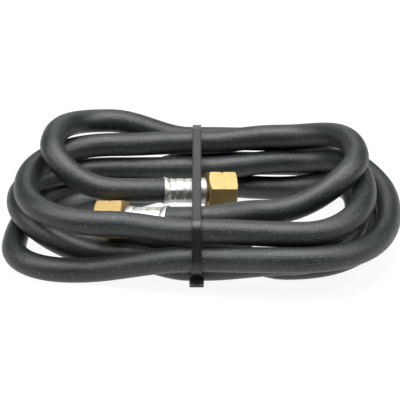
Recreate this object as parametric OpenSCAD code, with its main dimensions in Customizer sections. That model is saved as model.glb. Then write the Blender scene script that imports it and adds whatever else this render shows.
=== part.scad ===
// Gas hose for an arc welding torch: a smooth rubber hose wound as a long
// flat coil, held by one cable tie, with a crimped ferrule, a barbed stem and
// a swivelling brass union nut at each end. Millimetres, Z up, X along the coil.

/* [Hose] */
// Outside diameter of the hose
hose_od = 13; // [10:0.1:16]
// Inside diameter of the hose
hose_bore = 6.35; // [4.8:0.05:8]
// Overall length of the coil along X
coil_length = 212.5; // [175:0.5:260]

/* [Union nuts] */
// Width across the flats of a nut
nut_flats = 19.05; // [16:0.05:23]
// Length of a nut along its axis
nut_length = 14.8; // [12.5:0.1:18]
// Minor radius of the nut's internal thread
thread_r = 7.25; // [6.8:0.05:7.6]

/* [Crimped ferrules] */
// Length of a ferrule from its lip to the stem's collar
ferrule_length = 18.4; // [14.5:0.5:22]
// Wall of the crimped barrel, from the squeezed hose to a flat
crimp_wall = 1; // [0.8:0.05:1.3]

/* [Cable tie] */
// Width of the strap
tie_width = 4.8; // [3.6:0.1:6]
// Thickness of the strap
tie_thick = 1.1; // [0.8:0.05:1.4]
// Width of the head across the strap
head_width = 7.4; // [6:0.1:9]
// Height of the head along the strap
head_height = 5.6; // [4.6:0.1:6.8]
// How far the head stands out from the strap
head_depth = 3.6; // [3:0.1:4.4]

/* [Hidden] */
$fn = 48;
hose_r = hose_od / 2;
// every bend and strand spacing follows the hose diameter
u = hose_od / 13;
// what the straight middle of the coil gains or loses
dl = (coil_length - 212.5 * u) / 2;
// centres the coil on the origin
off_x = -1.25 * u;
off_y = 11 * u;
// strands on the table are flattened by a tenth of the diameter
lay = 0.4 * hose_od;
// clearance between the strap and the hose
slack = 0.3;
// middle of the strap, and how far each side of it the strands run straight
tie_x = -1.7;
tie_run = 4;
// raised border along each edge of the strap, and the depth between them
rim = 0.6;
rim_depth = 0.25;
// where the head sits on the leaning stretch of strap, 0 at its top
head_place = 0.6;
// length of the cut tail, and the gap between it and the strap
tail_stub = 1.2;
tail_gap = 0.4;
// frame round the head's window, and the chamfer along its outer edges
window_frame = 1.35;
window_depth = 0.9;
head_chamfer = 0.9;
// fullness of the bends in plan, 1 is an ellipse and less is squarer
full = 0.9;
// rings in a quarter bend and in half a straight, 22 in a loop
nq = 4;
nl = 1;
sides = 6;
// room between a nut and the stem that it turns on
play = 0.2;
// the stem's collar stands between the ferrule and the nut
collar_length = 5.2;
collar_r = 7;
nut_x = ferrule_length + collar_length + play;
nut_wall = 3;
thread_start = 6;
// relief past either end of the thread
relief = 0.9;
// notch across the middle of each corner of a nut
notch = 0.6;
// how far the chamfer at the mouth reaches down a corner
mouth_chamfer = 0.8;
neck_r = 5;
head_r = 6.6;
nose_length = 3.9;
flow_r = 2.2;
// the shell squeezes the hose, and the barbs bite into its bore
crimp_in = 5.2 * u;
squeezed_r = 5.4 * u;
bite = 0.12;
barb_r = hose_bore / 2 + bite;
root_r = 2.9;
barbs = 4;
// end wall of the ferrule, in a groove of the stem
end_wall = 2.3;
groove_r = 4.4;
// flared lip of the ferrule, and the taper down to the crimped barrel
lip_gap = 0.1;
lip_wall = 0.6;
lip_end = 0.7;
taper_end = 2.7;
// rings that the die leaves round the barrel
ring_width = 0.9;
ring_depth = 0.25;

// Bends in the order the hose runs: reach from the middle, y and z of the
// tip, and how late the strand climbs to it. They lie at the left and the
// right end of the coil by turns.
bends = [
    [79.5, 10, 47.5, 2],
    [101, -4, 19, 3],
    [98.5, -26, 5.2, 3],
    [93.6, 0, 5.2, 3],
    [80, 0, 5.2, 3],
    [84, -5.5, 19.6, 3],
    [98, 2, 19, 3],
    [86.5, -14, 34.1, 3],
    [92.5, -8.6, 32.5, 3],
    [83, -5, 47.5, 3]
];

// Straight runs between bends: where the left bend ends (x, y, z), the
// waist under the tie (y, z), and where the right bend starts (x, y, z).
runs = [
    [[50, 54.5, 40.5], [54.5, 29.5], [45, 53, 29.5]],
    [[64, -54.7, 5.2], [-67.5, 18.8], [46, -76.6, 23.3]],
    [[45, 50, 5.8], [52, 15.5], [50, 50.3, 15.6]],
    [[42, -25.5, 5.2], [-34, 8.1], [44, -51.7, 5.2]],
    [[45, 27, 5.2], [38.5, 8.1], [43, 36.5, 7]],
    [[40, -43, 7], [-57.6, 8.1], [45, -64.6, 15.3]],
    [[45, 36, 19.3], [32, 21.5], [48, 37.5, 23.2]],
    [[45, -54, 32], [-61.6, 31.5], [50, -65.1, 31.6]],
    [[45, 39.4, 32.7], [40.8, 33.5], [42, 41, 37]]
];

// Straight hose at the two ends: x of the ferrule's lip, y, z of the axis
end_a = [-19.7, -13.5, 30.5];
end_b = [-15.9, -43.1, 28.8];
// how far each fitting dips, and how far it turns to the back, in degrees
tilt_a = [5, 10];
tilt_b = [9, 17];
// where the first bend starts and where the last bend ends
start_a = [42, -16.5, 32.1];
start_b = [32, -38, 30.2];
// length of hose inside a ferrule, and length that leads straight into it
grip = ferrule_length - end_wall;
lead = hose_od;

// the way each fitting points, from its lip to its nut
aim_a = [cos(tilt_a[0]) * cos(tilt_a[1]), cos(tilt_a[0]) * sin(tilt_a[1]), -sin(tilt_a[0])];
aim_b = [-cos(tilt_b[0]) * cos(tilt_b[1]), cos(tilt_b[0]) * sin(tilt_b[1]), -sin(tilt_b[0])];
lead_b = end_b - lead * aim_b;

function ease(t) = t * t * (3 - 2 * t);
function mix(a, b, t) = a + (b - a) * t;

// the coil stretches between the tie and the bends, which keep their shape
function place(p) =
    let (past = max(0, min(1, (abs(p[0] - tie_x) - tie_run) / 34)))
    [
        u * p[0] + off_x + dl * sign(p[0] - tie_x) * past,
        u * p[1] + off_y,
        max(lay, u * p[2])
    ];

// a quarter bend, from the straight to the tip or back again
function quarter(s, sh, tip, n, inward) = [
    for (i = [0 : n - 1])
        let (a = inward ? 90 * (1 - i / n) : 90 * i / n)
        let (c = pow(max(0, cos(a)), full), q = pow(max(0, sin(a)), full))
        [
            s * mix(sh[0], tip[0], c),
            mix(tip[1], sh[1], q),
            mix(tip[2], sh[2], pow(max(0, sin(a)), tip[3]))
        ]
];

// an eased straight from point a to point b
function run(a, b, n) = [
    for (i = [0 : n - 1])
        let (t = i / n)
        [mix(a[0], b[0], t), mix(a[1], b[1], ease(t)), mix(a[2], b[2], ease(t))]
];

// a run from point a that meets point b already heading the way of aim
function run_in(a, b, aim, n) = [
    for (i = [0 : n - 1])
        let (t = i / n)
        let (late = (t * t * t - t * t) * (b[0] - a[0]) / aim[0])
        [
            mix(a[0], b[0], t),
            mix(a[1], b[1], ease(t)) + late * aim[1],
            mix(a[2], b[2], ease(t)) + late * aim[2]
        ]
];

function left(p) = [-p[0], p[1], p[2]];
function waist(w, side) = [tie_x + side * tie_run, w[0], w[1]];

// bend number i and the straight that follows it
function lap(i, enter, k) =
    let (s = i % 2 == 0 ? -1 : 1)
    let (r = i < 9 ? runs[i] : [])
    let (sh = i == 9 ? start_b : (s < 0 ? r[0] : r[2]))
    let (far = i == 9 ? [] : (s < 0 ? r[2] : left(r[0])))
    let (near = [s * sh[0], sh[1], sh[2]])
    concat(
        quarter(s, enter, bends[i], nq * k, true),
        quarter(s, sh, bends[i], nq * k, false),
        i == 9 ? run_in(near, lead_b, aim_b, nl * k + 2)
            : concat(
                run(near, waist(r[1], s), nl * k),
                [waist(r[1], s)],
                run(waist(r[1], -s), far, nl * k)
            )
    );

// shoulder where bend number i is entered
function entered(i) = i == 0 ? start_a
    : (i % 2 == 0 ? runs[i - 1][0] : runs[i - 1][2]);

// the wound middle of the hose
function coil(k) = [
    for (i = [0 : 9])
        for (p = lap(i, entered(i), k))
            place(p)
];

lip_a = place(end_a);
lip_b = place(end_b);
turns = coil(1);

// [centre, radius] of every ring, from the end in ferrule a to that in b
rings = concat(
    [
        [lip_a + grip * aim_a, squeezed_r],
        [lip_a + taper_end * aim_a, squeezed_r],
        [lip_a + lip_end * aim_a, hose_r],
        [lip_a - hose_od * aim_a, hose_r]
    ],
    [for (p = turns) [p, hose_r]],
    [
        [place(lead_b), hose_r],
        [lip_b + lip_end * aim_b, hose_r],
        [lip_b + taper_end * aim_b, squeezed_r],
        [lip_b + grip * aim_b, squeezed_r]
    ]
);
count = len(rings);

function unit(v) = v / norm(v);
function heading(i) = unit(rings[min(count - 1, i + 1)][0] - rings[max(0, i - 1)][0]);
function across(i) = unit(cross(heading(i), [0, 0, 1]));
function upward(i) = cross(across(i), heading(i));

// a ring's corners, one of them straight down
function corners(i, r) = [
    for (j = [0 : sides - 1])
        let (a = -90 + 360 * j / sides)
        rings[i][0] + r * (cos(a) * across(i) + sin(a) * upward(i))
];

bore_r = hose_bore / 2 / cos(180 / sides);
skin = [for (i = [0 : count - 1]) for (p = corners(i, rings[i][1])) p];
inner = [for (i = [0 : count - 1]) for (p = corners(i, bore_r)) p];
base = count * sides;

// two triangles of the wall between ring i and the next, at side j
function panel(i, j, from, turned) =
    let (n = (j + 1) % sides)
    let (p = from + i * sides + j, q = from + i * sides + n)
    let (v = p + sides, w = q + sides)
    turned ? [[p, w, q], [p, v, w]] : [[p, q, w], [p, w, v]];

// the flat end of the tube, between its skin and its bore
function mouth(i, turned) = [
    for (j = [0 : sides - 1])
        let (n = (j + 1) % sides)
        let (p = i * sides + j, q = i * sides + n)
        for (f = turned ? [[p, q, base + q], [p, base + q, base + p]]
            : [[p, base + q, q], [p, base + p, base + q]])
            f
];

walls = concat(
    [for (i = [0 : count - 2]) for (j = [0 : sides - 1]) for (f = panel(i, j, 0, true)) f],
    [for (i = [0 : count - 2]) for (j = [0 : sides - 1]) for (f = panel(i, j, base, false)) f],
    mouth(0, false),
    mouth(count - 1, true)
);

// length of hose, and the least gap between two stretches of it
function sum(v, i) = i < 0 ? 0 : v[i] + sum(v, i - 1);
spans = [for (i = [0 : count - 2]) norm(rings[i + 1][0] - rings[i][0])];
function to_span(p, a, b) =
    let (t = max(0, min(1, (p - a) * (b - a) / ((b - a) * (b - a)))))
    norm(p - a - t * (b - a));
probes = [
    for (i = [0 : count - 2])
        for (t = [0, 1 / 3, 2 / 3])
            [i, mix(rings[i][0], rings[i + 1][0], t)]
];
gap = min([
    for (p = probes)
        for (i = [0 : count - 2])
            if (i > p[0] + 6)
                to_span(p[1], rings[i][0], rings[i + 1][0])
]) - hose_od;
echo(str("hose length ", round(sum(spans, count - 2)), " mm, least gap to itself ",
    round(gap * 100) / 100, " mm"));

// a fitting's frame: its local Z runs from the lip towards the nut
module at_a() {
    translate(lip_a)
        rotate([0, 90 + tilt_a[0], tilt_a[1]])
            children();
}

module at_b() {
    translate(lip_b)
        rotate([0, -90 - tilt_b[0], -tilt_b[1]])
            children();
}

module hose() {
    color("#26282b")
        intersection() {
            polyhedron(points = concat(skin, inner), faces = walls);
            translate([-coil_length, -coil_length, 0])
                cube([2 * coil_length, 2 * coil_length, 100 * u]);
        }
}

// steel shell crimped on the hose, with a flared lip and an end wall
module ferrule() {
    lip_r = hose_r + lip_gap;
    flat_r = crimp_in + crimp_wall;
    difference() {
        union() {
            rotate_extrude()
                polygon([
                    [0, 0], [lip_r + lip_wall / 2, 0], [lip_r + lip_wall, lip_wall / 2],
                    [lip_r + lip_wall, 0.9], [flat_r - 0.4, taper_end + 1.1], [0, taper_end + 1.1]
                ]);
            translate([0, 0, taper_end - 0.5])
                rotate([0, 0, 22.5])
                    cylinder(h = ferrule_length - taper_end + 0.5, r = flat_r / cos(22.5), $fn = 8);
        }
        rotate_extrude()
            polygon([
                [0, -1], [lip_r, -1], [lip_r, lip_end], [crimp_in, taper_end],
                [crimp_in, grip + 0.1], [groove_r, grip + 0.1], [groove_r, ferrule_length + 1],
                [0, ferrule_length + 1]
            ]);
        // rings left by the die
        for (part = [0.35, 0.62])
            translate([0, 0, part * ferrule_length - ring_width / 2])
                difference() {
                    cylinder(h = ring_width, r = hose_od);
                    translate([0, 0, -1])
                        cylinder(h = ring_width + 2, r = flat_r - ring_depth);
                }
    }
}

// barbed tail, groove for the ferrule's end wall, collar, neck and ball nose
module stem() {
    tail = 2;
    pitch = (grip - tail) / barbs;
    collar = ferrule_length + collar_length;
    nose = nut_x + nut_wall + 0.3;
    difference() {
        rotate_extrude()
            polygon(concat(
                [[0, tail]],
                [
                    for (i = [0 : barbs - 1])
                        for (p = [[root_r, tail + i * pitch], [barb_r, tail + (i + 0.85) * pitch]])
                            p
                ],
                [
                    [root_r, grip - 0.2], [root_r, grip + 0.05], [groove_r, grip + 0.05],
                    [groove_r, ferrule_length], [collar_r - 0.6, ferrule_length],
                    [collar_r, ferrule_length + 0.8], [collar_r, collar - 1.2],
                    [collar_r - 0.8, collar], [neck_r, collar], [neck_r, nose],
                    [head_r, nose], [head_r, nose + 1.7], [head_r - 0.6, nose + 2.7],
                    [head_r - 2, nose + 3.5], [head_r - 3.6, nose + nose_length],
                    [0, nose + nose_length]
                ]
            ));
        translate([0, 0, tail - 1])
            cylinder(h = nose + nose_length, r = flow_r);
    }
}

// hexagon union nut with chamfered ends, an end wall, a threaded mouth and a
// notch across the middle of each corner
module nut() {
    corner = nut_flats / 2 / cos(30);
    rear = (corner - nut_flats / 2) * tan(30);
    front = mouth_chamfer * tan(30);
    middle = nut_length / 2;
    translate([0, 0, nut_x])
        difference() {
            intersection() {
                cylinder(h = nut_length, r = corner, $fn = 6);
                rotate_extrude()
                    polygon([
                        [0, 0], [nut_flats / 2, 0], [corner, rear], [corner, middle - notch],
                        [corner - notch, middle], [corner, middle + notch],
                        [corner, nut_length - front], [corner - mouth_chamfer, nut_length],
                        [0, nut_length]
                    ]);
            }
            rotate_extrude()
                polygon([
                    [0, -1], [neck_r + play, -1], [neck_r + play, nut_wall],
                    [thread_r + relief, nut_wall], [thread_r + relief, thread_start - relief],
                    [thread_r, thread_start], [thread_r, nut_length - relief],
                    [thread_r + relief, nut_length], [thread_r + relief, nut_length + 1],
                    [0, nut_length + 1]
                ]);
        }
}

module nut_a() {
    color("#c9a24e")
        at_a()
            nut();
}

module nut_b() {
    color("#c9a24e")
        at_b()
            nut();
}

module stem_a() {
    color("#b4b6b8")
        at_a()
            stem();
}

module stem_b() {
    color("#b4b6b8")
        at_b()
            stem();
}

module ferrule_a() {
    color("#d2d4d6")
        at_a()
            ferrule();
}

module ferrule_b() {
    color("#d2d4d6")
        at_b()
            ferrule();
}

// outline of the bundle of strands inside the strap, grown by g
module bundle(g) {
    hull() {
        for (r = runs)
            translate([place([0, r[1][0], 0])[1], place([0, 0, r[1][1]])[2]])
                circle(r = hose_r + g, $fn = 36);
    }
}

// the stretch of strap that runs down from the front strand to the lowest
// one: its middle, and how far it leans from upright
strap_top = [place([0, runs[1][1][0], 0])[1], place([0, 0, runs[1][1][1]])[2]];
strap_foot = [place([0, runs[5][1][0], 0])[1], place([0, 0, runs[5][1][1]])[2]];
strap_lean = atan2(strap_foot[0] - strap_top[0], strap_top[1] - strap_foot[1]);

// head frame: local Z runs up the strap, local -Y faces away from the coil
module at_head() {
    middle = mix(strap_top, strap_foot, head_place);
    translate([place([tie_x, 0, 0])[0], middle[0], middle[1]])
        rotate([strap_lean, 0, 0])
            translate([0, -hose_r - slack, 0])
                children();
}

// closed strap with its head at the front, low down, and the tail cut off
module cable_tie() {
    half = head_height / 2;
    deep = tie_thick + head_depth;
    color("#1f2123") {
        translate([place([tie_x, 0, 0])[0], 0, 0])
            rotate([90, 0, 90])
                difference() {
                    linear_extrude(height = tie_width, center = true)
                        difference() {
                            bundle(slack + tie_thick);
                            bundle(slack);
                        }
                    // shallow channel between the raised borders
                    linear_extrude(height = tie_width - 2 * rim, center = true)
                        difference() {
                            bundle(slack + tie_thick + 1);
                            bundle(slack + tie_thick - rim_depth);
                        }
                }
        at_head()
            difference() {
                union() {
                    translate([-head_width / 2, 0, 0])
                        rotate([90, 0, 90])
                            linear_extrude(height = head_width)
                                polygon([
                                    [-tie_thick / 2, -half], [-tie_thick / 2, half],
                                    [head_chamfer - deep, half], [-deep, half - head_chamfer],
                                    [-deep, head_chamfer - half], [head_chamfer - deep, -half]
                                ]);
                    // the tail, cut off just past the head
                    translate([-tie_width / 2, -2 * tie_thick - tail_gap, -half - tail_stub])
                        cube([tie_width, tie_thick, head_height]);
                }
                // window that shows the pawl
                translate([window_frame - head_width / 2, -deep - 1, window_frame - half])
                    cube([head_width - 2 * window_frame, window_depth + 1, head_height - 2 * window_frame]);
            }
    }
}

hose();
ferrule_a();
stem_a();
nut_a();
ferrule_b();
stem_b();
nut_b();
cable_tie();
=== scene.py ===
import math

import bmesh
import bpy
from mathutils import Matrix, Vector


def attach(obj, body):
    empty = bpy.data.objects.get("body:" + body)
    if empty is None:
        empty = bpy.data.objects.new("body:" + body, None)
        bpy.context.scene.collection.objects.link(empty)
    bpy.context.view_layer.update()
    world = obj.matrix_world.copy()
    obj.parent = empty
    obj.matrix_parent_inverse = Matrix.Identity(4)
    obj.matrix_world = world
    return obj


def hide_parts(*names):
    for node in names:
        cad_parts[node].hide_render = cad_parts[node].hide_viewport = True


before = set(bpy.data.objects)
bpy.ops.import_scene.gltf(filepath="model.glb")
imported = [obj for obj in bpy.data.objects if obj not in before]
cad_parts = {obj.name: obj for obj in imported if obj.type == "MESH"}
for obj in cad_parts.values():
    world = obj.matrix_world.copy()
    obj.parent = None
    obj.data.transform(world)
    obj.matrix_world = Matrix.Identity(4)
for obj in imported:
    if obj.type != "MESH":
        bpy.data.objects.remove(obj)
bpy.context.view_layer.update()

MM = 0.001

# ---------------------------------------------------------------- camera
# A long lens, a little above the table, looks along +Y at the coil.
CAMERA_DISTANCE = 890 * MM
CAMERA_ELEVATION = math.radians(27)
CAMERA_LENS = 148
SENSOR_WIDTH = 36
NEAR_CLIP = 0.01
CAMERA_AIM = Vector((-1.25, 11, 18)) * MM

camera = bpy.data.objects.new("camera", bpy.data.cameras.new("camera"))
bpy.context.collection.objects.link(camera)
away = Vector((0, -math.cos(CAMERA_ELEVATION), math.sin(CAMERA_ELEVATION)))
camera.location = CAMERA_AIM + away * CAMERA_DISTANCE
camera.rotation_mode = "QUATERNION"
camera.rotation_quaternion = away.to_track_quat("Z", "Y")
camera.data.lens = CAMERA_LENS
camera.data.sensor_width = SENSOR_WIDTH
camera.data.clip_start = NEAR_CLIP
bpy.context.scene.camera = camera

# ---------------------------------------------------------------- hose
# Smooth extruded rubber gas hose, 13 mm over the cover, wound as a long flat
# coil. It was vulcanised in one piece, so liner, braid and cover are bonded.
# Each end goes into a crimped ferrule, where the shell squeezes it narrower.
HOSE_R = 6.5
BORE_R = 3.175
BORE_DEPTH = 2
CRIMP_R = 5.35
SQUEEZE_START = 0.7
SQUEEZE_RUN = 2
GRIP = 16.1
LEAD = 13
TIE_X = -1.7
TIE_RUN = 4
SHIFT = Vector((-1.25, 11, 0))
HOSE_SIDES = 40
QUARTER_STEPS = 20
STRAIGHT_STEPS = 10

# how full a bend's outline is: 1 is a plain ellipse, less is squarer
FULL = 0.9

# rings of a fitting's straight stretch, from its grip's end to its lead's end
END_STEPS = (GRIP, 9, 2.7, 1.7, 0.7, 0, -7, -LEAD)
RINGS_IN_FERRULE = 6
FITTING_REACH = 25

# reach, y and z of each bend's tip, and how late the strand climbs to it
BENDS = [
    (79.5, 10, 47.5, 2),
    (101, -4, 19, 3),
    (98.5, -26, 5.2, 3),
    (93.6, 0, 5.2, 3),
    (80, 0, 5.2, 3),
    (84, -5.5, 19.6, 3),
    (98, 2, 19, 3),
    (86.5, -14, 34.1, 3),
    (92.5, -8.6, 32.5, 3),
    (83, -5, 47.5, 3),
]

# where the left bend ends, the waist under the tie, where the right bend starts
RUNS = [
    ((50, 54.5, 40.5), (54.5, 29.5), (45, 53, 29.5)),
    ((64, -54.7, 5.2), (-67.5, 18.8), (46, -76.6, 23.3)),
    ((45, 50, 5.8), (52, 15.5), (50, 50.3, 15.6)),
    ((42, -25.5, 5.2), (-34, 8.1), (44, -51.7, 5.2)),
    ((45, 27, 5.2), (38.5, 8.1), (43, 36.5, 7)),
    ((40, -43, 7), (-57.6, 8.1), (45, -64.6, 15.3)),
    ((45, 36, 19.3), (32, 21.5), (48, 37.5, 23.2)),
    ((45, -54, 32), (-61.6, 31.5), (50, -65.1, 31.6)),
    ((45, 39.4, 32.7), (40.8, 33.5), (42, 41, 37)),
]

# where each ferrule's lip is, and the shoulder of the bend beside it
END_A, START_A = Vector((-19.7, -13.5, 30.5)), (42, -16.5, 32.1)
END_B, START_B = Vector((-15.9, -43.1, 28.8)), (32, -38, 30.2)


def aim(side, dip, turn):
    """The way a fitting points, from how far it dips and turns to the back."""
    dip, turn = math.radians(dip), math.radians(turn)
    level = math.cos(dip)
    return Vector((side * level * math.cos(turn), level * math.sin(turn), -math.sin(dip)))


AIM_A, AIM_B = aim(1, 5, 10), aim(-1, 9, 17)


def ease(t):
    """A share from 0 to 1 that starts and stops gently."""
    return t * t * (3 - 2 * t)


def mix(a, b, t):
    return a + (b - a) * t


def quarter(side, shoulder, tip, inward):
    """Half of a bend, inward to its tip or outward to its shoulder."""
    points = []
    for i in range(QUARTER_STEPS):
        turn = i / QUARTER_STEPS
        angle = math.pi / 2 * (1 - turn if inward else turn)
        along = max(0, math.cos(angle)) ** FULL
        out = max(0, math.sin(angle))
        points.append(Vector((
            side * mix(shoulder[0], tip[0], along),
            mix(tip[1], shoulder[1], out ** FULL),
            mix(tip[2], shoulder[2], out ** tip[3]),
        )))
    return points


def straight(a, b, heading=Vector((1, 0, 0))):
    """An eased run from a that meets b on its way along heading; b is left out."""
    points = []
    for t in (i / STRAIGHT_STEPS for i in range(STRAIGHT_STEPS)):
        late = (t ** 3 - t ** 2) * (b[0] - a[0]) / heading.x
        points.append(Vector((
            mix(a[0], b[0], t),
            mix(a[1], b[1], ease(t)) + late * heading.y,
            mix(a[2], b[2], ease(t)) + late * heading.z,
        )))
    return points


def wound_hose():
    """The centreline from ferrule a to ferrule b, in metres."""
    points = [END_A + AIM_A * d for d in END_STEPS]
    entered = START_A
    for number, tip in enumerate(BENDS):
        side = -1 if number % 2 == 0 else 1
        points += quarter(side, entered, tip, True)
        if number == len(BENDS) - 1:
            points += quarter(side, START_B, tip, False)
            here = (side * START_B[0], START_B[1], START_B[2])
            points += straight(here, END_B - AIM_B * LEAD, AIM_B)
            break
        left_end, waist, right_end = RUNS[number]
        leaving, entered = (left_end, right_end) if side < 0 else (right_end, left_end)
        points += quarter(side, leaving, tip, False)
        here = (side * leaving[0], leaving[1], leaving[2])
        near = (TIE_X + side * TIE_RUN, *waist)
        far = (TIE_X - side * TIE_RUN, *waist)
        points += straight(here, near) + [Vector(near)]
        points += straight(far, (-side * entered[0], entered[1], entered[2]))
    points += [END_B + AIM_B * d for d in reversed(END_STEPS)]
    return [(p + SHIFT) * MM for p in points]


def hose_radius(point):
    """Full size in the open, squeezed inside either ferrule."""
    depth = -1
    for end, way in ((END_A, AIM_A), (END_B, AIM_B)):
        off_lip = point / MM - SHIFT - end
        if off_lip.length < FITTING_REACH:
            depth = max(depth, off_lip.dot(way))
    squeeze = min(1, max(0, (depth - SQUEEZE_START) / SQUEEZE_RUN))
    return mix(HOSE_R, CRIMP_R, squeeze) * MM


def as_object(bm, name):
    """Turns a finished bmesh into a linked object of that name."""
    mesh = bpy.data.meshes.new(name)
    bm.to_mesh(mesh)
    bm.free()
    made = bpy.data.objects.new(name, mesh)
    bpy.context.collection.objects.link(made)
    return made


path = wound_hose()
run_length = [0.0]
for here, there in zip(path, path[1:]):
    run_length.append(run_length[-1] + (there - here).length)

# rings square to the centreline, flattened where they lie on the table
bm = bmesh.new()
last = len(path) - 1
rings = []
for i, centre in enumerate(path):
    heading = (path[min(i + 1, last)] - path[max(i - 1, 0)]).normalized()
    across = heading.cross(Vector((0, 0, 1))).normalized()
    upward = across.cross(heading)
    in_ferrule = min(i, last - i) < RINGS_IN_FERRULE
    radius = hose_radius(centre) if in_ferrule else HOSE_R * MM
    ring = []
    for j in range(HOSE_SIDES):
        angle = 2 * math.pi * j / HOSE_SIDES - math.pi / 2
        point = centre + radius * (math.cos(angle) * across + math.sin(angle) * upward)
        point.z = max(point.z, 0)
        ring.append(bm.verts.new(point))
    rings.append(ring)

# U counts the length in steps of 100 mm, and V goes once round the hose
UV_STEP = 100
along_hose = bm.loops.layers.uv.new("along_hose")
for i in range(last):
    for j in range(HOSE_SIDES):
        n = (j + 1) % HOSE_SIDES
        face = bm.faces.new((rings[i][j], rings[i][n], rings[i + 1][n], rings[i + 1][j]))
        face.smooth = True
        turns = (j / HOSE_SIDES, (j + 1) / HOSE_SIDES)
        spans = (run_length[i], run_length[i + 1])
        corners = ((0, 0), (0, 1), (1, 1), (1, 0))
        for loop, (span, turn) in zip(face.loops, corners):
            loop[along_hose].uv = (spans[span] / MM / UV_STEP, turns[turn])

# each cut end shows the wall round the mouth of the bore
for ring in (rings[0][::-1], rings[-1]):
    cap = bm.faces.new(ring)
    bmesh.ops.inset_region(bm, faces=[cap], thickness=(CRIMP_R - BORE_R) * MM)
    inward = -BORE_DEPTH if cap.normal.x > 0 else BORE_DEPTH
    bmesh.ops.translate(bm, verts=cap.verts, vec=Vector((inward * MM, 0, 0)))
bmesh.ops.recalc_face_normals(bm, faces=bm.faces)
hose = as_object(bm, "hose_cover")

# sockets of a mix node that is set to colours
FIRST_COLOUR, SECOND_COLOUR, MIXED_COLOUR = 6, 7, 2


def linear(hex_colour):
    """An sRGB hex colour as linear red, green, blue and alpha."""
    levels = [int(hex_colour[i:i + 2], 16) / 255 for i in (1, 3, 5)]
    return (*[v / 12.92 if v <= 0.04045 else ((v + 0.055) / 1.055) ** 2.4 for v in levels], 1)


def material(name, colour, roughness, metallic=0.0):
    """A named material and its Principled shader."""
    made = bpy.data.materials.new(name)
    made.use_nodes = True
    shader = made.node_tree.nodes["Principled BSDF"]
    shader.inputs["Base Color"].default_value = linear(colour)
    shader.inputs["Roughness"].default_value = roughness
    shader.inputs["Metallic"].default_value = metallic
    return made, shader


def node(made, kind, settings=None, links=None):
    """Adds a node; settings are sockets or properties, links are socket: output."""
    new = made.node_tree.nodes.new(kind)
    for key, value in (settings or {}).items():
        if key in new.inputs:
            new.inputs[key].default_value = value
        else:
            setattr(new, key, value)
    for key, output in (links or {}).items():
        made.node_tree.links.new(output, new.inputs[key])
    return new


def join(made, output, socket):
    made.node_tree.links.new(output, socket)


def noise(made, where, grain_size, detail, roughness=0.5):
    """The output of a noise whose grain is given in millimetres."""
    return node(
        made, "ShaderNodeTexNoise",
        {"Scale": 1 / (grain_size * MM), "Detail": detail, "Roughness": roughness},
        {"Vector": where},
    ).outputs["Fac"]


def two_tone(made, share, first, second):
    """The output of a mix of two colours; the first may be an output itself."""
    mixed = node(made, "ShaderNodeMix", {"data_type": "RGBA"})
    if isinstance(first, str):
        mixed.inputs[FIRST_COLOUR].default_value = linear(first)
    else:
        join(made, first, mixed.inputs[FIRST_COLOUR])
    mixed.inputs[SECOND_COLOUR].default_value = linear(second)
    join(made, share, mixed.inputs["Factor"])
    return mixed.outputs[MIXED_COLOUR]


def vary_roughness(made, shader, share, low, high):
    """Lets the roughness follow share, between low and high."""
    dull = node(made, "ShaderNodeMapRange", {"To Min": low, "To Max": high}, {"Value": share})
    join(made, dull.outputs[0], shader.inputs["Roughness"])


def add_bump(made, shader, height, strength, depth):
    """Adds fine relief that stands depth millimetres high."""
    bump = node(made, "ShaderNodeBump", {"Strength": strength, "Distance": depth * MM},
                {"Height": height})
    join(made, bump.outputs[0], shader.inputs["Normal"])


# Carbon-black rubber with a matte skin from the extruder: a broad cool grey
# sheen, fine pitted grain, pale flecks of painted glint and faint drag lines along the hose.
rubber, shader = material("extruded_black_rubber", "#161a1b", 0.4)
place = node(rubber, "ShaderNodeTexCoord")
grain = noise(rubber, place.outputs["Object"], 1.1, 4.0, 0.75)
mottle = noise(rubber, place.outputs["Object"], 14, 4.0)
glint_speckle = noise(rubber, place.outputs["Object"], 0.9, 1.0)
stretch = node(rubber, "ShaderNodeMapping", {"Scale": (0.6, 34, 1)},
               {"Vector": place.outputs["UV"]})
drag = node(rubber, "ShaderNodeTexNoise", {"Scale": 2.0, "Detail": 2.0},
            {"Vector": stretch.outputs[0]})
tone = two_tone(rubber, mottle, "#111415", "#1b2021")
# pale flecks mixed into the colour are painted glints, not dust
painted_glints = node(rubber, "ShaderNodeMapRange", {"From Min": 0.6, "From Max": 0.72, "To Max": 0.5},
            {"Value": glint_speckle})
join(rubber, two_tone(rubber, painted_glints.outputs[0], tone, "#565b5d"), shader.inputs["Base Color"])
vary_roughness(rubber, shader, grain, 0.3, 0.48)

# the drag lines count for less than the grain
DRAG_SHARE = 0.4
relief = node(rubber, "ShaderNodeMath", {"operation": "MULTIPLY_ADD"})
relief.inputs[1].default_value = DRAG_SHARE
join(rubber, drag.outputs["Fac"], relief.inputs[0])
join(rubber, grain, relief.inputs[2])
add_bump(rubber, shader, relief.outputs[0], 0.8, 0.32)
hose.data.materials.append(rubber)

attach(hose, "hose_set")
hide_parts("hose")

# ---------------------------------------------------------------- ferrules
# Zinc-plated steel shells, slid over the hose and pressed in an eight-jaw die.
# The lip stays flared, and two rings of the die are pressed into the barrel.
LIP_A = (END_A + SHIFT) * MM
LIP_B = (END_B + SHIFT) * MM
FITTINGS = (("a", LIP_A, AIM_A), ("b", LIP_B, AIM_B))
FERRULE_LENGTH = 18.4
LIP_R = 7.2
BARREL_R = 6.46
RING_R = 6.12

# the die's flats: how many, how far out, and where along and inside they stop
JAWS = 8
FLAT_R = 6.2
FLATS_FROM = 2.9
INSIDE_R = 5.5


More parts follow.
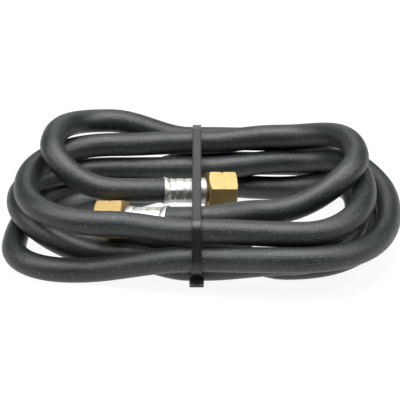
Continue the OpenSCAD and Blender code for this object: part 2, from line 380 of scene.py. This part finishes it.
def lathe(bm, outline, steps=64):
    """Spins an outline of (distance along, radius) in millimetres about local Z."""
    verts = [bm.verts.new((r * MM, 0, z * MM)) for z, r in outline]
    edges = [bm.edges.new(pair) for pair in zip(verts, verts[1:])]
    bmesh.ops.spin(bm, geom=verts + edges, angle=2 * math.pi, steps=steps,
                   axis=(0, 0, 1), cent=(0, 0, 0), use_merge=True)
    bmesh.ops.remove_doubles(bm, verts=bm.verts, dist=1e-6)
    bmesh.ops.recalc_face_normals(bm, faces=bm.faces)


def press_flats(bm, sides, flat_r, first, start, inside_r):
    """Flattens a lathed piece past start and outside inside_r; one flat faces first."""
    half_side = math.pi / sides
    for vert in bm.verts:
        along, radius = vert.co.z / MM, math.hypot(vert.co.x, vert.co.y) / MM
        if along < start or radius < inside_r:
            continue
        turn = math.atan2(vert.co.y, vert.co.x) - first
        off_flat = (turn + half_side) % (2 * half_side) - half_side
        flat = flat_r / math.cos(off_flat)
        if radius > flat:
            vert.co.x *= flat / radius
            vert.co.y *= flat / radius


def shade(piece, made, sharp_angle):
    """Gives a piece its material, and shades it smooth below an edge angle."""
    piece.data.shade_smooth()
    piece.data.set_sharp_from_angle(angle=math.radians(sharp_angle))
    piece.data.materials.append(made)


def finished(name, bm, lip, way, made, body, replaced, sharp_angle=35):
    level = math.hypot(way.x, way.y)
    turn = (Matrix.Rotation(math.atan2(way.y, way.x), 4, "Z")
            @ Matrix.Rotation(math.atan2(level, way.z), 4, "Y"))
    bmesh.ops.transform(bm, matrix=Matrix.Translation(lip) @ turn, verts=bm.verts)
    piece = as_object(bm, name)
    shade(piece, made, sharp_angle)
    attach(piece, body)
    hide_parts(replaced)


# Bright zinc plate: a cool white metal that mirrors softly, with the grey
# streaks that the die leaves along the barrel.
zinc, shader = material("bright_zinc_plate", "#c0c0bb", 0.42, 1.0)
place = node(zinc, "ShaderNodeTexCoord")
stretch = node(zinc, "ShaderNodeMapping", {"Scale": (0.12, 1, 1)},
               {"Vector": place.outputs["Object"]})
streak = noise(zinc, stretch.outputs[0], 1.1, 3.0)
vary_roughness(zinc, shader, streak, 0.36, 0.52)
add_bump(zinc, shader, streak, 0.12, 0.04)

for letter, lip, way in FITTINGS:
    bm = bmesh.new()
    lathe(bm, [
        # the flared lip
        (0.0, 6.55), (0.0, 6.95), (0.25, LIP_R), (0.9, LIP_R), (1.3, 7.1), (2.2, 6.95),
        # the barrel with its two rings
        (3.4, BARREL_R), (5.8, BARREL_R), (6.3, RING_R), (6.6, RING_R), (7.1, BARREL_R),
        (10.8, BARREL_R), (11.3, RING_R), (11.6, RING_R), (12.1, BARREL_R),
        (17.6, BARREL_R), (18.2, 6.5), (FERRULE_LENGTH, 6.2),
        # the end wall and the inside, back to the lip
        (FERRULE_LENGTH, 4.45), (16.2, 4.45), (16.2, 5.2), (2.7, 5.2), (0.7, 6.55), (0.0, 6.55),
    ], steps=96)
    press_flats(bm, JAWS, FLAT_R, 0, FLATS_FROM, INSIDE_R)
    finished("ferrule_" + letter + "_shell", bm, lip, way, zinc, "hose_set",
             "ferrule_" + letter, 22)

# ---------------------------------------------------------------- stems
# Turned steel stems: a barbed tail inside the hose, a rounded collar behind
# the nut, and a ball nose that the nut draws on to the outlet's seat.
NUT_X = FERRULE_LENGTH + 5.4
NUT_WALL = 3
NOSE_X = NUT_X + NUT_WALL
BARB_R, TAIL_R = 3.29, 2.9
NECK_R, NOSE_R, FLOW_R = 5.0, 6.6, 2.2

for letter, lip, way in FITTINGS:
    bm = bmesh.new()
    lathe(bm, [
        # the barbed tail, up to the groove for the ferrule's end wall
        (2.0, FLOW_R), (2.0, TAIL_R), (5.0, BARB_R), (5.5, TAIL_R), (8.5, BARB_R), (9.0, TAIL_R),
        (12.0, BARB_R), (12.5, TAIL_R), (15.5, BARB_R), (15.9, TAIL_R), (16.15, TAIL_R),
        (16.15, 4.4), (FERRULE_LENGTH, 4.4),
        # the collar
        (FERRULE_LENGTH, 6.2), (18.55, 6.6), (18.9, 6.85), (19.5, 7.0), (22.0, 7.0),
        (22.7, 6.85), (23.2, 6.55), (23.5, 6.1), (23.6, 5.6), (23.6, NECK_R),
        # the neck, the ball nose and the flow bore
        (NOSE_X + 0.3, NECK_R), (NOSE_X + 0.3, NOSE_R), (NOSE_X + 2.0, NOSE_R),
        (NOSE_X + 2.6, 6.3), (NOSE_X + 3.2, 5.4), (NOSE_X + 3.8, 4.0), (NOSE_X + 4.2, 3.0),
        (NOSE_X + 4.2, FLOW_R), (2.0, FLOW_R),
    ], steps=72)
    finished("stem_" + letter + "_turned", bm, lip, way, zinc, "hose_set",
             "stem_" + letter)

# ---------------------------------------------------------------- nuts
# Hexagon union nuts sawn from brass bar, chamfered at both ends, with a rear
# wall that turns on the stem and a cut thread in the mouth.
NUT_LENGTH = 14.8
NUT_FLATS = 19.05
WALL_HOLE_R = 5.2
THREAD_R = 7.25
THREAD_START = 6
THREAD_TURNS = 5
THREAD_DEPTH = 0.7
PITCH = 25.4 / 18
HALF_CREST, HALF_ROOT = 0.12, 0.08
MOUTH_BEVEL = 0.9

# the rear end is turned round, the mouth's end chamfered, and each corner
# has a notch across its middle
ROUNDED = 0.85
CHAMFER_LENGTH, CHAMFER_DEPTH = 0.46, 0.8
NOTCH = 0.6

# Machined brass: warm yellow metal, near white-gold where it faces the light,
# with fine tool lines across the flats and a duller film in patches.
brass, shader = material("machined_brass", "#a08b60", 0.58, 1.0)
place = node(brass, "ShaderNodeTexCoord")
stretch = node(brass, "ShaderNodeMapping", {"Scale": (0.08, 1, 1)},
               {"Vector": place.outputs["Object"]})
lines = noise(brass, stretch.outputs[0], 0.35, 2.0)
film = noise(brass, place.outputs["Object"], 7, 4.0)
join(brass, two_tone(brass, film, "#ab966a", "#947c4c"), shader.inputs["Base Color"])
vary_roughness(brass, shader, lines, 0.5, 0.66)
add_bump(brass, shader, lines, 0.25, 0.03)

flat = NUT_FLATS / 2
corner = flat / math.cos(math.radians(30))
middle = NUT_LENGTH / 2
nut_outline = [(0.0, WALL_HOLE_R), (0.0, flat)]
nut_outline += [(t * ROUNDED, mix(flat, corner, t)) for t in (0.25, 0.5, 0.75, 1.0)]
nut_outline += [(middle - NOTCH, corner), (middle, corner - NOTCH), (middle + NOTCH, corner)]
nut_outline += [
    (NUT_LENGTH - CHAMFER_LENGTH, corner),
    (NUT_LENGTH - CHAMFER_LENGTH / 2, corner - CHAMFER_DEPTH / 2),
    (NUT_LENGTH, corner - CHAMFER_DEPTH),
    (NUT_LENGTH, THREAD_R + MOUTH_BEVEL), (NUT_LENGTH - MOUTH_BEVEL, THREAD_R),
]
# each turn of thread is a groove between two narrow crests
for turn in range(THREAD_TURNS):
    crest = NUT_LENGTH - MOUTH_BEVEL - turn * PITCH
    root = crest - PITCH / 2
    nut_outline += [
        (crest - HALF_CREST, THREAD_R), (root + HALF_ROOT, THREAD_R + THREAD_DEPTH),
        (root - HALF_ROOT, THREAD_R + THREAD_DEPTH), (crest - PITCH + HALF_CREST, THREAD_R),
    ]
nut_outline += [
    (THREAD_START, THREAD_R), (THREAD_START - MOUTH_BEVEL, THREAD_R + MOUTH_BEVEL),
    (NUT_WALL, THREAD_R + MOUTH_BEVEL), (NUT_WALL, WALL_HOLE_R), (0.0, WALL_HOLE_R),
]

for letter, lip, way in FITTINGS:
    bm = bmesh.new()
    lathe(bm, nut_outline, steps=120)
    press_flats(bm, 6, flat, math.pi / 6, -1, THREAD_R + 1)
    bmesh.ops.translate(bm, verts=bm.verts, vec=(0, 0, NUT_X * MM))
    finished("nut_" + letter + "_brass", bm, lip, way, brass, "union_nut_" + letter,
             "nut_" + letter, 20)

# ---------------------------------------------------------------- cable tie
# Moulded black nylon tie, drawn tight round all the strands, its tail cut off
# at the head. The strap has a raised border along each edge.
TIE_WIDTH = 4.8
TIE_THICK = 1.1
SLACK = 0.3
BORDER = 0.55
BORDER_RISE = 0.3
STRAP_EDGE = 0.15
STRAP_STEPS = 240
STRAP_STEP = 1.2
HEAD_WIDTH = 7.4
HEAD_HEIGHT = 5.6
HEAD_DEPTH = 3.6
HEAD_PLACE = 0.6
HEAD_EDGE = 0.45
WINDOW_RIM = 1.3
WINDOW_DEPTH = 0.8
TRIM_EDGE = 0.14

# Nylon 66: deep grey-black with a satin moulded skin that shows bright lines
# where an edge catches the light.
nylon, shader = material("moulded_black_nylon", "#0f1011", 0.34)
place = node(nylon, "ShaderNodeTexCoord")
skin = noise(nylon, place.outputs["Object"], 0.7, 3.0)
vary_roughness(nylon, shader, skin, 0.3, 0.44)
add_bump(nylon, shader, skin, 0.15, 0.03)

waists = [Vector((y + SHIFT.y, z)) for _, (y, z), _ in RUNS]


def strap_line():
    """The taut outline round the strands, as (y, z) points."""
    points = []
    for i in range(STRAP_STEPS):
        angle = 2 * math.pi * i / STRAP_STEPS
        facing = Vector((math.cos(angle), math.sin(angle)))
        far = max(waists, key=lambda w: w.dot(facing))
        points.append(far + facing * HOSE_R)
    dense = []
    for a, b in zip(points, points[1:] + points[:1]):
        pieces = max(1, round((b - a).length / STRAP_STEP))
        dense += [a.lerp(b, k / pieces) for k in range(pieces)]
    return dense


# the strap's section, as (across, out) points from one inner edge to the other
middle_x = TIE_X + SHIFT.x
half = TIE_WIDTH / 2
face = SLACK + TIE_THICK
section = [
    (-half, SLACK), (-half, face - STRAP_EDGE), (-half + STRAP_EDGE, face),
    (-half + BORDER - STRAP_EDGE, face), (-half + BORDER, face - BORDER_RISE),
    (half - BORDER, face - BORDER_RISE), (half - BORDER + STRAP_EDGE, face),
    (half - STRAP_EDGE, face), (half, face - STRAP_EDGE), (half, SLACK),
]
line = strap_line()
bm = bmesh.new()
loops = []
for i, p in enumerate(line):
    along = (line[(i + 1) % len(line)] - line[i - 1]).normalized()
    out = Vector((along.y, -along.x))
    loops.append([
        bm.verts.new(((middle_x + x) * MM, (p.x + out.x * g) * MM, (p.y + out.y * g) * MM))
        for x, g in section
    ])
for a, b in zip(loops, loops[1:] + loops[:1]):
    for j in range(len(section)):
        n = (j + 1) % len(section)
        bm.faces.new((a[j], a[n], b[n], b[j]))
bmesh.ops.recalc_face_normals(bm, faces=bm.faces)
strap = as_object(bm, "tie_strap")
shade(strap, nylon, 30)
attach(strap, "hose_set")
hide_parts("cable_tie")

# the head sits on the leaning stretch between the front and the lowest strand
upper, lower = waists[1], waists[5]
lean = math.atan2(lower.x - upper.x, upper.y - lower.y)
seat = upper.lerp(lower, HEAD_PLACE)
head_frame = (
    Matrix.Translation(Vector((middle_x, seat.x, seat.y)) * MM)
    @ Matrix.Rotation(lean, 4, "X")
    @ Matrix.Translation(Vector((0, -(HOSE_R + SLACK), 0)) * MM)
)
bm = bmesh.new()
bmesh.ops.create_cube(bm, size=1)
deep = TIE_THICK / 2 + HEAD_DEPTH
bmesh.ops.scale(bm, verts=bm.verts, vec=Vector((HEAD_WIDTH, deep, HEAD_HEIGHT)) * MM)
bmesh.ops.translate(bm, verts=bm.verts, vec=Vector((0, -TIE_THICK / 2 - deep / 2, 0)) * MM)
front = [f for f in bm.faces if f.normal.y < -0.9]
bmesh.ops.inset_region(bm, faces=front, thickness=WINDOW_RIM * MM)
bmesh.ops.translate(bm, verts=front[0].verts, vec=Vector((0, WINDOW_DEPTH, 0)) * MM)
edges = [e for e in bm.edges if e.calc_face_angle(0) > 0.5]
bmesh.ops.bevel(bm, geom=edges, offset=HEAD_EDGE * MM, segments=3, profile=0.5,
                affect="EDGES", material=-1)

# the cut tail below the head, and the pawl's thumb in the window
for size, centre in (
    ((TIE_WIDTH, TIE_THICK, HEAD_HEIGHT), (0, -0.4 - 1.5 * TIE_THICK, -1.2)),
    ((2.9, 0.5, 1.3), (0, -(TIE_THICK + HEAD_DEPTH) + 0.75, -0.55)),
):
    added = bmesh.ops.create_cube(bm, size=1)["verts"]
    bmesh.ops.scale(bm, verts=added, vec=Vector(size) * MM)
    bmesh.ops.translate(bm, verts=added, vec=Vector(centre) * MM)
    edges = list({e for v in added for e in v.link_edges})
    bmesh.ops.bevel(bm, geom=edges, offset=TRIM_EDGE * MM, segments=2, profile=0.5,
                    affect="EDGES", material=-1)
bmesh.ops.transform(bm, matrix=head_frame, verts=bm.verts)
head = as_object(bm, "tie_head")
shade(head, nylon, 40)
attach(head, "hose_set")

# ---------------------------------------------------------------- table and light
# A white table under soft lamps, overhead, behind and at both sides.
TABLE_HALF = 4
TABLE_DROP = 0.0002

bm = bmesh.new()
bmesh.ops.create_grid(bm, x_segments=1, y_segments=1, size=TABLE_HALF)
bmesh.ops.translate(bm, verts=bm.verts, vec=(0, 0, -TABLE_DROP))
table = as_object(bm, "table")

# Matte white laminate: it takes the coil's soft shadow, but looks almost evenly
# bright to the camera and in reflections, as a lit backdrop does.
BACKDROP_SHARE = 0.92
white, shader = material("white_table", "#f2f2f2", 0.6)
rays = node(white, "ShaderNodeLightPath")
seen = node(white, "ShaderNodeMath", {"operation": "ADD", "use_clamp": True})
join(white, rays.outputs["Is Camera Ray"], seen.inputs[0])
join(white, rays.outputs["Is Glossy Ray"], seen.inputs[1])
also = node(white, "ShaderNodeMath", {"operation": "ADD", "use_clamp": True})
join(white, seen.outputs[0], also.inputs[0])
join(white, rays.outputs["Is Transmission Ray"], also.inputs[1])
share = node(white, "ShaderNodeMath", {"operation": "MULTIPLY"})
join(white, also.outputs[0], share.inputs[0])
share.inputs[1].default_value = BACKDROP_SHARE
glow = node(white, "ShaderNodeEmission", {"Color": (1, 1, 1, 1), "Strength": 1.0})
lit = node(white, "ShaderNodeMixShader")
join(white, share.outputs[0], lit.inputs[0])
join(white, shader.outputs[0], lit.inputs[1])
join(white, glow.outputs[0], lit.inputs[2])
join(white, lit.outputs[0], white.node_tree.nodes["Material Output"].inputs["Surface"])
table.data.materials.append(white)


def lamp(name, size, power, place):
    """A square soft lamp that faces the origin."""
    data = bpy.data.lights.new(name, "AREA")
    data.shape = "SQUARE"
    data.size = size
    data.energy = power
    made = bpy.data.objects.new(name, data)
    bpy.context.collection.objects.link(made)
    made.location = place
    made.rotation_mode = "QUATERNION"
    made.rotation_quaternion = Vector(place).to_track_quat("Z", "Y")


lamp("overhead", 0.9, 20, (0, 0, 1.0))
lamp("behind", 0.8, 3, (0, 1.3, 0.75))
lamp("left", 0.6, 11, (-1.0, -0.3, 0.9))
lamp("right", 0.6, 10, (1.0, -0.3, 0.9))

WORLD_STRENGTH = 0.06
world = bpy.data.worlds.new("studio")
bpy.context.scene.world = world
world.use_nodes = True
background = world.node_tree.nodes["Background"]
background.inputs["Color"].default_value = (1, 1, 1, 1)
background.inputs["Strength"].default_value = WORLD_STRENGTH
bpy.context.scene.view_settings.view_transform = "Standard"
